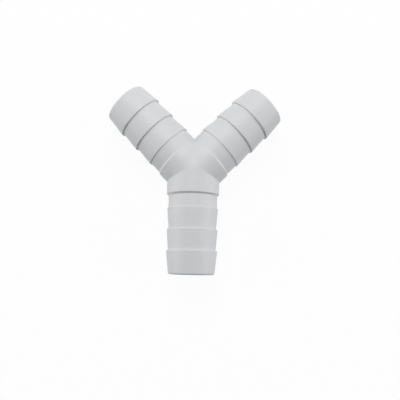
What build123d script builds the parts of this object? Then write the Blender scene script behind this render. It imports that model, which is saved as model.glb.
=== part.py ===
from build123d import *
from math import cos, radians, sin, tan
import os

# Barbed hose Y connector, moulded in one piece. All sizes are in millimetres.
# The axes of the three tails lie in the XY plane and meet at the origin. The stem runs
# along -Y and the two arms lean out to either side of +Y. +Z is up as the part lies flat.

# Layout of the three tails, which share one design
arm_angle = 45.0          # from +Y to the axis of each arm, in degrees
barb_count = 3
barb_pitch = 10.9         # from one crest's edge to the next
first_crest = 12.3        # from the end of the tail to the edge of the first crest
neck_length = 6.5         # plain stretch between the last barb and the body

# Outside of a tail, from its widest line, which grips the hose
crest_diameter = 26.5
crest_land = 0.6          # flat top of each crest
tip_taper = 1.3           # from the crest down to the end of the tail
barb_height = 0.85        # from the crest down to the foot of the step behind it
neck_step = 0.5           # the same, down to the neck behind the last barb
step_slope = 0.3          # length over which a step falls from its crest to its foot

# Passage through a tail, and the wall that it leaves
wall = 2.4                # at the foot of a step
tip_rounding_share = 0.56    # outer edge of the tail's end, as a share of the wall there
mouth_chamfer_share = 0.26   # inner edge of the tail's end, as a share of the wall there

# Body round the place where the tails meet
shoulder_height = 1.0     # from the neck up to the body
shoulder_slope = 0.6      # length over which a shoulder rises from its neck to the body
shoulder_setback = 0.35   # from the crotch, where the necks of the arms meet, to a shoulder's foot
crotch_rounding = 1.0     # hollow crease between the necks of the arms

# Sizes that follow from these
root_diameter = crest_diameter - 2 * barb_height
tip_diameter = crest_diameter - 2 * tip_taper
neck_diameter = crest_diameter - 2 * neck_step
bore_diameter = root_diameter - 2 * wall
tip_wall = (tip_diameter - bore_diameter) / 2
body_diameter = neck_diameter + 2 * shoulder_height
body_reach = neck_diameter / 2 / tan(radians(arm_angle)) - shoulder_setback
last_crest = body_reach + neck_length + step_slope
tail_reach = last_crest + (barb_count - 1) * barb_pitch + first_crest

# Directions of the axes, and of the mitre planes halfway between them, from +X
right_arm = 90 - arm_angle
left_arm = 90 + arm_angle
crotch_mitre = (right_arm + left_arm) / 2
stem = crotch_mitre + 180
left_mitre = (left_arm + stem) / 2
right_mitre = (right_arm + stem - 360) / 2

# The seam line of a turned leg lies halfway between level and upright, clear of the crotch
seam_turn = crotch_mitre / 2

crotch_point = (0, neck_diameter / 2 / sin(radians(arm_angle)), 0)
wide = 2 * (tail_reach + body_diameter)   # reaches past every side of the part


def leg_outline():
    """Corners of a leg's outside as (distance from the origin, radius), from its end inwards."""
    corners = [(tail_reach, tip_diameter / 2)]
    for number in reversed(range(barb_count)):
        crest_edge = last_crest + number * barb_pitch
        foot_diameter = root_diameter if number else neck_diameter
        corners.append((crest_edge + crest_land, crest_diameter / 2))
        corners.append((crest_edge, crest_diameter / 2))
        corners.append((crest_edge - step_slope, foot_diameter / 2))
    corners.append((body_reach, neck_diameter / 2))
    corners.append((body_reach - shoulder_slope, body_diameter / 2))
    corners.append((-body_diameter, body_diameter / 2))
    return corners


def leg():
    """One leg, solid, along +X: its barbs and neck, and a body cylinder that runs past the origin."""
    section = make_face(Polyline((-body_diameter, 0), (tail_reach, 0), *leg_outline(), close=True))
    outer_corner = section.vertices().sort_by(Axis.X)[-2:].sort_by(Axis.Y)[-1]
    section = fillet(outer_corner, tip_rounding_share * tip_wall)
    return Rot(X=seam_turn) * revolve(section, Axis.X)


def sector(start, end):
    """Space between two mitre planes: from above, a wedge with its point at the origin."""
    corners = [(wide * cos(radians(a)), wide * sin(radians(a))) for a in (start, (start + end) / 2, end)]
    return extrude(make_face(Polyline((0, 0), *corners, close=True)), wide, both=True)


def mitred_legs(shape):
    """The shape, made along +X, on all three axes, each copy cut off at its mitre planes."""
    right = Rot(Z=right_arm) * shape & sector(right_mitre, crotch_mitre)
    left = Rot(Z=left_arm) * shape & sector(crotch_mitre, left_mitre)
    lower = Rot(Z=stem) * shape & sector(left_mitre, right_mitre + 360)
    return right + left + lower


def rounded_crotch(outside):
    """Round the crease between the necks of the arms, where a mould would otherwise be sharp."""
    crotch = outside.edges().sort_by_distance(crotch_point)[0]
    return fillet(crotch, crotch_rounding)


def passage():
    """Space inside one leg, along +X: the bore, which runs past the origin, and its chamfered mouth."""
    mouth_chamfer = mouth_chamfer_share * tip_wall
    outline = Polyline(
        (-body_diameter, 0),
        (-body_diameter, bore_diameter / 2),
        (tail_reach - mouth_chamfer, bore_diameter / 2),
        (tail_reach, bore_diameter / 2 + mouth_chamfer),
        (tail_reach, 0),
        close=True,
    )
    return Rot(X=seam_turn) * revolve(make_face(outline), Axis.X)


connector = rounded_crotch(mitred_legs(leg())) - mitred_legs(passage())
os.makedirs("parts", exist_ok=True)
export_step(connector, "parts/y_connector.step")
print("y_connector", round(connector.volume), "mm3", connector.bounding_box().size)
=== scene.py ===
from math import copysign, cos, hypot, pi, radians, sin, sqrt

import bmesh
import bpy
from mathutils import Matrix, Vector


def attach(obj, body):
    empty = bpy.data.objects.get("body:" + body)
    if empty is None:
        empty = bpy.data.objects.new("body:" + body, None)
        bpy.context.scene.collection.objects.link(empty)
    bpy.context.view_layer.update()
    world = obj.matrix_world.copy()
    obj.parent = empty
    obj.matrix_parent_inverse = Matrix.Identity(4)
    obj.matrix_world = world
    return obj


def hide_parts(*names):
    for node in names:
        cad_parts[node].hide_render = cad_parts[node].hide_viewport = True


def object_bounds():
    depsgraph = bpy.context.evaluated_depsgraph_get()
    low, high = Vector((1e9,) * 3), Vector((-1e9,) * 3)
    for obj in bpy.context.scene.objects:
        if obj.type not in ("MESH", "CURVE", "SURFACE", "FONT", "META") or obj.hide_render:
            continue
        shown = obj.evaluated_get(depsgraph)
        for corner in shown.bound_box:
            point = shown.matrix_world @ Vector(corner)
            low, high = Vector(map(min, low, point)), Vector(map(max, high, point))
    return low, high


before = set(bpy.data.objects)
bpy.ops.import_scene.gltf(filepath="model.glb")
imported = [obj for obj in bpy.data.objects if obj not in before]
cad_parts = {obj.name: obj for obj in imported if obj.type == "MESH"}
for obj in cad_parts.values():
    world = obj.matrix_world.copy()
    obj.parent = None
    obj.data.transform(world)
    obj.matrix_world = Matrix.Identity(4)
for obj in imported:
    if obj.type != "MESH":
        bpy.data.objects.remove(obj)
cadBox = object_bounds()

mm = 0.001
white = (1, 1, 1, 1)
print("frame loaded", sorted(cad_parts))


def meshFrom(bm, name):
    mesh = bpy.data.meshes.new(name)
    bm.to_mesh(mesh)
    bm.free()
    return mesh


def joinMesh(bm, mesh):
    bm.from_mesh(mesh)
    bpy.data.meshes.remove(mesh)


def addObject(name, data):
    obj = bpy.data.objects.new(name, data)
    bpy.context.scene.collection.objects.link(obj)
    return obj


def turnedTo(place, aim):
    return (Vector(aim) - Vector(place)).to_track_quat("-Z", "Y").to_matrix().to_4x4()


# Camera, from where the photograph was taken

camera = {
    "place": (3.728, -47.512, 260.777),   # in mm from the point where the tails' axes meet
    "aim": (3.728, -14.4, 0),
    "roll": 1.3,                          # in degrees
    "lens": 45.0,
    "sensor": 36.0,
    "nearest": 10.0,                      # in mm; nothing nearer than this is seen
}


def addCamera(c):
    data = bpy.data.cameras.new("camera")
    data.lens = c["lens"]
    data.sensor_width = c["sensor"]
    data.sensor_fit = "HORIZONTAL"
    data.clip_start = c["nearest"] * mm
    obj = addObject("camera", data)
    place = Matrix.Translation(Vector(c["place"]) * mm)
    roll = Matrix.Rotation(radians(c["roll"]), 4, "Z")
    obj.matrix_world = place @ turnedTo(c["place"], c["aim"]) @ roll
    bpy.context.scene.camera = obj


# The moulding: one turned section, cut at the mitre planes and used on all three axes.
# All its lengths are in mm.

moulding = {
    "armAngle": 45.0,            # from +Y to each arm, in degrees

    # Along a tail's axis, from the middle
    "tailReach": 53.3,
    "crestEdges": (41.0, 30.1, 19.2),
    "crestLand": 0.6,            # flat top of a crest
    "stepSlope": 0.3,            # over which a step falls from its crest
    "bodyReach": 12.4,
    "shoulderSlope": 0.6,        # over which the body falls to the neck
    "overrun": 27.5,             # past the middle, where the mitre cuts take it off

    "crestRadius": 13.25,
    "rootRadius": 12.4,          # at the foot of a step
    "tipRadius": 11.95,
    "neckRadius": 12.75,
    "bodyRadius": 13.75,
    "armBodyRadius": 13.45,      # the arms' bodies are a little slimmer than the stem's
    "boreRadius": 10.0,
    "turns": 144,                # faces round a tail

    # How far each rounding reaches along the lines that meet there
    "tipRounding": 0.98,
    "mouthRounding": 0.5,
    "crestRounding": 0.1,
    "footRounding": 0.04,
    "shoulderRounding": 0.3,
    "roundingSteps": 5,
    "ringGap": 0.1,              # from a rounding to the ring that keeps the next face even

    # The body of an arm runs out into its neck on the crotch side. The turn says where that
    # starts and where it is full, as shares of the radius towards the crotch.
    "fadeLength": 6.0,
    "fadeRings": 10,
    "fadeTurn": (-0.25, 0.45),

    # The top of the stem's body runs out as a strip between the arms. The rise says where it
    # starts and where it is full, as shares of the height of the body.
    "stripLength": 6.0,
    "stripRise": (0.2, 0.4),

    # Creases between the legs. A side has the width that is softened there, how often, and
    # the share of the height above which both grow to those of the top.
    "creaseLines": (0.15, 0.35, 0.65, 1.1, 1.7, 2.5, 3.4, 4.4),   # cuts to either side of each
    "creaseReach": 4.0,
    "creaseRounds": 40,
    "crotchSide": (1.3, 12, 0.55),
    "flankSide": (2.5, 4, 0.94),

    # What still counts as lying on the outside of a body or the rounding at its foot
    "skinMargin": 0.1,
    "footMargin": 1.0,

    # What counts as the same place or plane
    "sameCut": 0.00001,
    "sameSeam": 0.0001,
    "sameMitre": 0.002,
    "samePlane": 0.001,
}


def eased(value, low, high):
    # From 0 at the low end to 1 at the high one, level at both
    share = min(max((value - low) / (high - low), 0), 1)
    return share * share * (3 - 2 * share)


def onBody(m, along, radius):
    # For a place this far along a leg's axis, and out from it
    skin = m["neckRadius"] - m["skinMargin"]
    return radius >= skin and along < m["bodyReach"] + m["footMargin"]


def legCorners(m):
    # As (distance, radius, rounding): from inside the bore round the end, and back outside
    corners = [(-m["overrun"], m["boreRadius"], 0),
               (m["tailReach"], m["boreRadius"], m["mouthRounding"]),
               (m["tailReach"], m["tipRadius"], m["tipRounding"])]
    for edge in m["crestEdges"]:
        foot = m["neckRadius"] if edge == m["crestEdges"][-1] else m["rootRadius"]
        corners.append((edge + m["crestLand"], m["crestRadius"], m["crestRounding"]))
        corners.append((edge, m["crestRadius"], m["crestRounding"]))
        corners.append((edge - m["stepSlope"], foot, m["footRounding"]))
    corners.append((m["bodyReach"], m["neckRadius"], m["shoulderRounding"]))
    edge = m["bodyReach"] - m["shoulderSlope"]
    corners.append((edge, m["bodyRadius"], m["shoulderRounding"]))
    corners.append((-m["overrun"], m["bodyRadius"], 0))
    return corners


def cutAt(bm, m, normal, offset, clear=False):
    geom = bm.verts[:] + bm.edges[:] + bm.faces[:]
    bmesh.ops.bisect_plane(bm, geom=geom, dist=m["sameCut"] * mm, plane_co=normal * offset * mm,
                           plane_no=normal, clear_outer=clear)


def turnedStrip(m, ends):
    # What one line of the section sweeps, round the X axis
    bm = bmesh.new()
    edge = bm.edges.new([bm.verts.new(end) for end in ends])
    bmesh.ops.spin(bm, geom=[*edge.verts, edge], cent=(0, 0, 0), axis=(1, 0, 0), dvec=(0, 0, 0),
                   angle=2 * pi, steps=m["turns"], use_merge=True, use_duplicate=False)
    return meshFrom(bm, "strip")


def sectionLines(m):
    # The ends of each line of the section, with the corners rounded
    corners = legCorners(m)
    bm = bmesh.new()
    verts = [bm.verts.new((x * mm, r * mm, 0)) for x, r, _ in corners]
    for pair in zip(verts, verts[1:]):
        bm.edges.new(pair)
    for vert, (_, _, reach) in zip(verts, corners):
        if reach:
            bmesh.ops.bevel(bm, geom=[vert], offset=reach * mm, offset_type="OFFSET",
                            affect="VERTICES", segments=m["roundingSteps"], profile=0.5,
                            material=-1)
    lines = [[vert.co.copy() for vert in edge.verts] for edge in bm.edges]
    bm.free()
    return lines


def turnedLeg(m):
    # One leg along +X, open where it runs past the middle. Its strips are turned one by one,
    # so that the order of its faces is the same in every run.
    bm = bmesh.new()
    for ends in sectionLines(m):
        joinMesh(bm, turnedStrip(m, ends))
    bmesh.ops.remove_doubles(bm, verts=bm.verts, dist=m["sameSeam"] * mm)
    for x, _, reach in legCorners(m):
        for side in (-1, 1):
            ring = x + side * (reach + m["ringGap"])
            if reach and ring < m["tailReach"]:
                cutAt(bm, m, Vector((1, 0, 0)), ring)
    return bm


def fadeShoulder(bm, m, side):
    # The crotch lies on this side of the arm, and there its shoulder runs out into the neck
    start = m["bodyReach"] - m["fadeLength"]
    for number in range(m["fadeRings"]):
        ring = start + number * m["fadeLength"] / m["fadeRings"]
        cutAt(bm, m, Vector((1, 0, 0)), ring)
    for v in bm.verts:
        x, y, z = (part / mm for part in v.co)
        radius = hypot(y, z)
        if x > start and onBody(m, x, radius):
            turned = eased(side * y / radius, *m["fadeTurn"])
            along = eased(x, start, m["bodyReach"])
            faded = m["bodyRadius"] + along * (m["neckRadius"] - m["bodyRadius"])
            v.co.yz *= 1 + turned * (faded / radius - 1)


def mitredLeg(m, halfLeft, halfRight, crotchSide):
    # The leg lies along +X, with its neighbours' mitre planes at these angles to either side
    bm = turnedLeg(m)
    if crotchSide:
        fadeShoulder(bm, m, crotchSide)
    cutAt(bm, m, Vector((-sin(halfLeft), cos(halfLeft), 0)), 0, clear=True)
    cutAt(bm, m, Vector((-sin(halfRight), -cos(halfRight), 0)), 0, clear=True)
    return meshFrom(bm, "leg")


def cutCrease(bm, m, along):
    # The crease lies over the line that runs this way from the middle
    across = Vector((-along.y, along.x, 0))
    for line in m["creaseLines"]:
        for side in (-1, 1):
            faces = [face for face in bm.faces if face.calc_center_median().dot(along) > 0]
            parts = dict.fromkeys(part for face in faces for part in (*face.verts, *face.edges))
            bmesh.ops.bisect_plane(bm, geom=[*faces, *parts], dist=m["sameCut"] * mm,
                                   plane_co=across * side * line * mm, plane_no=across)


def slimArms(bm, m):
    # Slims the arms' bodies, and lifts the strip that stands out between them
    arm = radians(m["armAngle"])
    half = arm / 2
    stemRadius, armRadius, neck = m["bodyRadius"], m["armBodyRadius"], m["neckRadius"]
    for v in bm.verts:
        side = copysign(1, v.co.x)
        axis = Vector((side * sin(arm), cos(arm), 0))
        out = (v.co - axis * v.co.dot(axis)) / mm
        radius = out.length
        beyond = v.co.dot(Vector((side * sin(half), cos(half), 0))) / mm   # the flank's mitre
        if beyond < m["samePlane"] or not onBody(m, v.co.dot(axis) / mm, radius):
            continue
        if radius > neck:
            slim = neck + (radius - neck) * (armRadius - neck) / (stemRadius - neck)
            if abs(v.co.x) > m["samePlane"] * mm:
                v.co += out * (slim / radius - 1) * mm
            else:
                high = sqrt(slim ** 2 - (v.co.y * sin(arm) / mm) ** 2)
                v.co.z = copysign(high, v.co.z) * mm
        x, y, z = v.co / mm
        drop = 0
        if y > 0:
            crease = sqrt(max(0, armRadius ** 2 - (y * sin(arm)) ** 2))
            left = 1 - eased(y, 0, m["stripLength"])
            drop = stemRadius - crease - (stemRadius - armRadius) * left
        top = sqrt(max(0, stemRadius ** 2 - x ** 2)) - drop
        if abs(z) < top:
            lift = eased(abs(z) / stemRadius, *m["stripRise"])
            v.co.z = copysign(abs(z) + lift * (top - abs(z)), z) * mm


def softenCrease(bm, m, along, sideReach, sideRounds, start):
    # Crisp at its side, blended at its top
    across = Vector((-along.y, along.x, 0))
    soft = []
    for v in bm.verts:
        rise = abs(v.co.z) / (m["bodyRadius"] * mm)
        share = max(0, rise - start) / (1 - start)
        reach = sideReach + share * (m["creaseReach"] - sideReach)
        rounds = sideRounds + share * (m["creaseRounds"] - sideRounds)
        if v.co.dot(along) > 0 and abs(v.co.dot(across)) < reach * mm:
            soft.append((v, rounds))
    for number in range(m["creaseRounds"]):
        verts = [v for v, rounds in soft if number < rounds]
        bmesh.ops.smooth_vert(bm, verts=verts, factor=0.5,
                              use_axis_x=True, use_axis_y=True, use_axis_z=True)


def buildMoulding(m):
    arm = radians(m["armAngle"])
    crotch, flank = arm, (pi - arm) / 2
    legs = (                     # turn from +X, angles to its mitre planes, side of the crotch
        (pi / 2 - arm, crotch, flank, 1),
        (pi / 2 + arm, flank, crotch, -1),
        (-pi / 2, flank, flank, 0),
    )
    bm = bmesh.new()
    for turn, left, right, crotchSide in legs:
        mesh = mitredLeg(m, left, right, crotchSide)
        mesh.transform(Matrix.Rotation(turn, 4, "Z"))
        joinMesh(bm, mesh)
    bmesh.ops.remove_doubles(bm, verts=bm.verts, dist=m["sameMitre"] * mm)
    creases = [(Vector((cos(turn), sin(turn), 0)), m[side]) for turn, side in (
        (-pi / 2 + flank, "flankSide"),
        (-pi / 2 - flank, "flankSide"),
        (pi / 2, "crotchSide"),
    )]
    for along, _ in creases:
        cutCrease(bm, m, along)
    slimArms(bm, m)
    for along, side in creases:
        softenCrease(bm, m, along, *side)
    bmesh.ops.recalc_face_normals(bm, faces=bm.faces)
    for face in bm.faces:
        face.smooth = True
    opened = sum(1 for edge in bm.edges if len(edge.link_faces) != 2)
    print("moulding", len(bm.faces), "faces, open edges", opened)
    return meshFrom(bm, "moulding")


# Satin plastic, as it comes from the mould

plastic = {
    "colour": (0.62, 0.627, 0.641),
    "shade": (0.59, 0.597, 0.612),
    "cloud": 60.0,               # scale and detail of the slow change from colour to shade
    "cloudDetail": 3.0,
    "grain": 900.0,              # and of the fine grain
    "grainDetail": 4.0,
    "roughness": (0.5, 0.6),
    "bump": 0.00001,             # in metres
    "bumpStrength": 0.35,
}


def addNoise(nodes, links, where, scale, detail):
    noise = nodes.new("ShaderNodeTexNoise")
    noise.inputs["Scale"].default_value = scale
    noise.inputs["Detail"].default_value = detail
    links.new(where.outputs["Object"], noise.inputs["Vector"])
    return noise.outputs["Fac"]


def addPlastic(p):
    mat = bpy.data.materials.new("mouldedPlastic")
    mat.use_nodes = True
    nodes, links = mat.node_tree.nodes, mat.node_tree.links
    shader = nodes["Principled BSDF"]
    where = nodes.new("ShaderNodeTexCoord")
    cloud = addNoise(nodes, links, where, p["cloud"], p["cloudDetail"])
    tone = nodes.new("ShaderNodeMix")
    tone.data_type = "RGBA"
    tone.inputs["A"].default_value = (*p["shade"], 1)
    tone.inputs["B"].default_value = (*p["colour"], 1)
    links.new(cloud, tone.inputs["Factor"])
    links.new(tone.outputs["Result"], shader.inputs["Base Color"])
    grain = addNoise(nodes, links, where, p["grain"], p["grainDetail"])
    gloss = nodes.new("ShaderNodeMapRange")
    gloss.inputs["To Min"].default_value, gloss.inputs["To Max"].default_value = p["roughness"]
    links.new(grain, gloss.inputs["Value"])
    links.new(gloss.outputs["Result"], shader.inputs["Roughness"])
    bump = nodes.new("ShaderNodeBump")
    bump.inputs["Strength"].default_value = p["bumpStrength"]
    bump.inputs["Distance"].default_value = p["bump"]
    links.new(grain, bump.inputs["Height"])
    links.new(bump.outputs["Normal"], shader.inputs["Normal"])
    return mat


# Floor and light

stage = {
    "floorSize": 4.0,            # in metres, as all of the stage's lengths
    "floorColour": (0.85, 0.85, 0.85, 1),
    "floorRoughness": 0.9,
    "floorWhite": 0.95,          # how much of the floor the camera sees as plain white
    "worldWhite": 1.0,
    "worldStrength": 0.15,
    "lamps": {                   # name: (place, aim, size, power in watts)
        "window": ((-0.05, 0.47, 0.65), (0, 0, 0), 0.6, 4.4),
        "leftFill": ((-0.75, 0, 0.3), (0, 0, 0), 0.6, 2.8),
        "rightFill": ((0.75, 0, 0.3), (0, 0, 0), 0.6, 3.1),
    },
}


def addWhite(tree, surface, share):
    # Camera, glossy and transmitted rays see this share of plain white in place of the surface
    nodes, links = tree.nodes, tree.links
    path = nodes.new("ShaderNodeLightPath")
    seen = path.outputs["Is Camera Ray"]
    for ray in ("Is Glossy Ray", "Is Transmission Ray"):
        either = nodes.new("ShaderNodeMath")
        either.operation = "MAXIMUM"
        links.new(seen, either.inputs[0])
        links.new(path.outputs[ray], either.inputs[1])
        seen = either.outputs[0]
    amount = nodes.new("ShaderNodeMath")
    amount.operation = "MULTIPLY"
    amount.inputs[1].default_value = share
    links.new(seen, amount.inputs[0])
    kind = "ShaderNodeBackground" if surface.type == "BACKGROUND" else "ShaderNodeEmission"
    plain = nodes.new(kind)
    plain.inputs["Color"].default_value = white
    mix = nodes.new("ShaderNodeMixShader")
    links.new(amount.outputs[0], mix.inputs["Fac"])
    links.new(surface.outputs[0], mix.inputs[1])
    links.new(plain.outputs[0], mix.inputs[2])
    return mix.outputs[0]


def addFloor(s):
    bm = bmesh.new()
    bmesh.ops.create_grid(bm, x_segments=1, y_segments=1, size=s["floorSize"] / 2)
    bmesh.ops.translate(bm, verts=bm.verts, vec=(0, 0, cadBox[0][2]))
    floor = addObject("floor", meshFrom(bm, "floor"))
    mat = bpy.data.materials.new("paperWhite")
    mat.use_nodes = True
    nodes, links = mat.node_tree.nodes, mat.node_tree.links
    shader = nodes["Principled BSDF"]
    shader.inputs["Base Color"].default_value = s["floorColour"]
    shader.inputs["Roughness"].default_value = s["floorRoughness"]
    mixed = addWhite(mat.node_tree, shader, s["floorWhite"])
    links.new(mixed, nodes["Material Output"].inputs["Surface"])
    floor.data.materials.append(mat)


def addWorld(s):
    world = bpy.data.worlds.new("world")
    bpy.context.scene.world = world
    world.use_nodes = True
    nodes, links = world.node_tree.nodes, world.node_tree.links
    nodes["Background"].inputs["Strength"].default_value = s["worldStrength"]
    nodes["Background"].inputs["Color"].default_value = white
    mixed = addWhite(world.node_tree, nodes["Background"], s["worldWhite"])
    links.new(mixed, nodes["World Output"].inputs["Surface"])


def addLamps(s):
    for name, (place, aim, size, power) in s["lamps"].items():
        data = bpy.data.lights.new(name, "AREA")
        data.shape = "DISK"
        data.size = size
        data.energy = power
        lamp = addObject(name, data)
        lamp.location = place
        lamp.rotation_euler = turnedTo(place, aim).to_euler()


addCamera(camera)
piece = addObject("moulding", buildMoulding(moulding))
piece.data.materials.append(addPlastic(plastic))
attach(piece, "root")
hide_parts("y_connector")

addFloor(stage)
addWorld(stage)
addLamps(stage)
bpy.context.scene.view_settings.view_transform = "Standard"
print("stage set")
